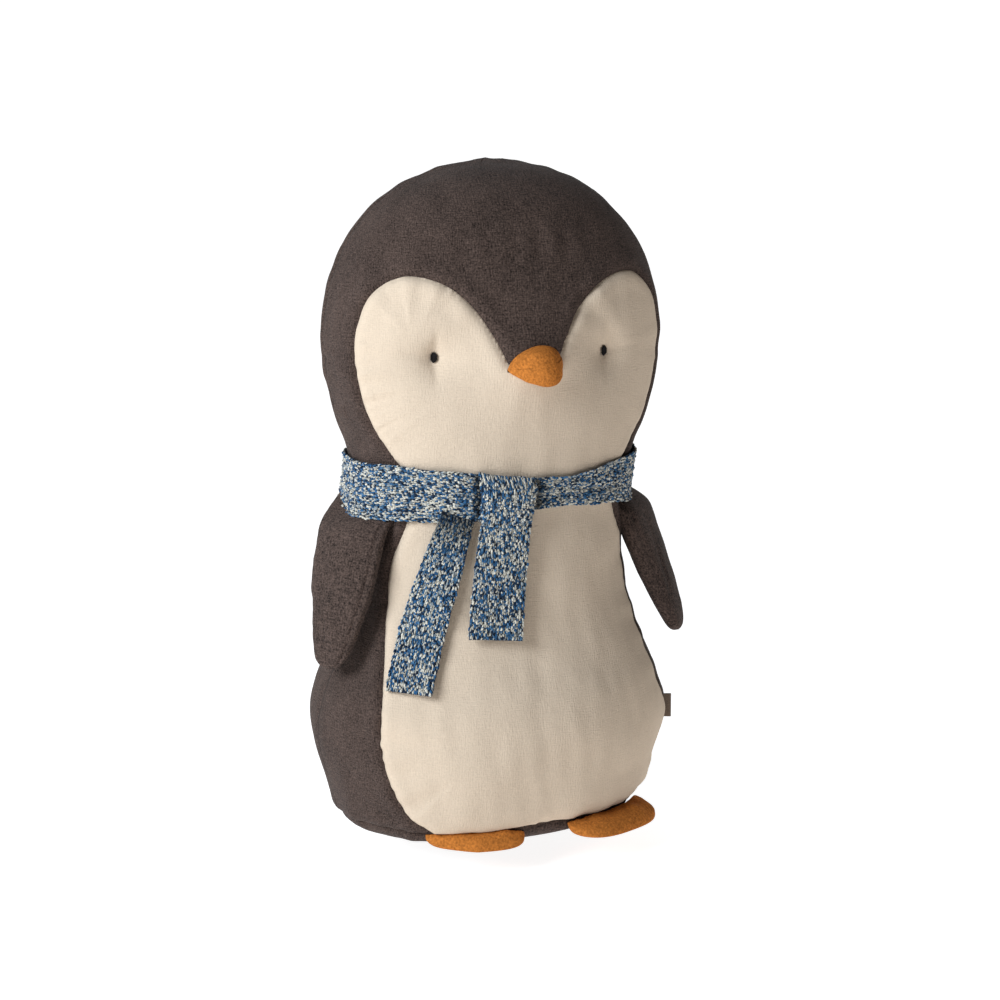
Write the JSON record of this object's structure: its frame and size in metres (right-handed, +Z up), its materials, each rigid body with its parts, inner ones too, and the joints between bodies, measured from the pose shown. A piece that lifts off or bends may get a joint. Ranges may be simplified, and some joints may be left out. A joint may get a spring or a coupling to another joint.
{
  "type": "plush penguin",
  "caption": "Standing stuffed toy penguin of sewn linen panels with a padded beak, flippers and feet, and a knitted scarf tied round its neck.",
  "frame": {"origin": "middle of the flat base, on the surface the toy stands on", "axes": "+Z up through the crown of the head, -Y the way the toy's belly faces, +X the toy's left"},
  "size_m": [0.2963, 0.2124, 0.5],
  "materials": {
    "linen_dark": "matt woven linen",
    "linen_cream": "matt woven linen and cotton",
    "brushed_ochre": "brushed cotton felt",
    "knit_marl": "chunky marled knit",
    "thread_black": "stitched thread",
    "stuffing": "polyester fibre",
    "pellets": "cotton bag of pellets",
    "label_tape": "plain woven tape"
  },
  "bodies": {
    "torso": {"head_front_panel": "linen_dark", "head_back_left_panel": "linen_dark", "head_back_right_panel": "linen_dark", "back_left_panel": "linen_dark", "back_right_panel": "linen_dark", "base_panel": "linen_dark", "face_panel": "linen_cream", "belly_panel": "linen_cream", "head_filling": "stuffing", "body_filling": "stuffing", "beak_filling": "stuffing", "base_pellet_bag": "pellets", "eye_left": "thread_black", "eye_right": "thread_black", "eye_tie_thread": "thread_black", "beak_upper": "brushed_ochre", "beak_lower": "brushed_ochre", "scarf_wrap": "knit_marl", "scarf_knot": "knit_marl"},
    "flipper_left": {"flipper_left_outer": "linen_dark", "flipper_left_inner": "linen_dark", "flipper_left_filling": "stuffing"},
    "foot_left": {"foot_left_upper": "brushed_ochre", "foot_left_sole": "brushed_ochre", "foot_left_filling": "stuffing"},
    "flipper_right": {"flipper_right_outer": "linen_dark", "flipper_right_inner": "linen_dark", "flipper_right_filling": "stuffing"},
    "foot_right": {"foot_right_upper": "brushed_ochre", "foot_right_sole": "brushed_ochre", "foot_right_filling": "stuffing"},
    "tail_front": {"scarf_tail_front": "knit_marl"},
    "tail_side": {"scarf_tail_side": "knit_marl"},
    "label": {"side_label": "label_tape"}
  },
  "joints": [
    {"name": "flipper_left_lift", "type": "hinge", "parent": "torso", "child": "flipper_left", "pos_m": [0.112, -0.013, 0.241], "axis": [-0.5, -0.866, 0], "range_deg": [-8, 70]},
    {"name": "flipper_right_lift", "type": "hinge", "parent": "torso", "child": "flipper_right", "pos_m": [-0.112, -0.013, 0.241], "axis": [-0.5, 0.866, 0], "range_deg": [-2, 76]},
    {"name": "foot_left_flex", "type": "hinge", "parent": "torso", "child": "foot_left", "pos_m": [0.068, -0.074, 0.012], "axis": [-0.9272, -0.3746, 0], "range_deg": [0, 15]},
    {"name": "foot_right_flex", "type": "hinge", "parent": "torso", "child": "foot_right", "pos_m": [-0.038, -0.077, 0.012], "axis": [-0.9781, 0.2079, 0], "range_deg": [0, 15]},
    {"name": "scarf_tail_front_swing", "type": "hinge", "parent": "torso", "child": "tail_front", "pos_m": [-0.02057, -0.07791, 0.23981], "axis": [-0.9934, 0.1144, 0], "range_deg": [0, 70]},
    {"name": "scarf_tail_side_swing", "type": "hinge", "parent": "torso", "child": "tail_side", "pos_m": [-0.05638, -0.06725, 0.23814], "axis": [-0.9184, 0.3957, 0], "range_deg": [0, 70]},
    {"name": "side_label_flap", "type": "hinge", "parent": "torso", "child": "label", "pos_m": [0.12849, -0.0412, 0.08], "axis": [0, 0, 1], "range_deg": [-40, 40]}
  ]
}
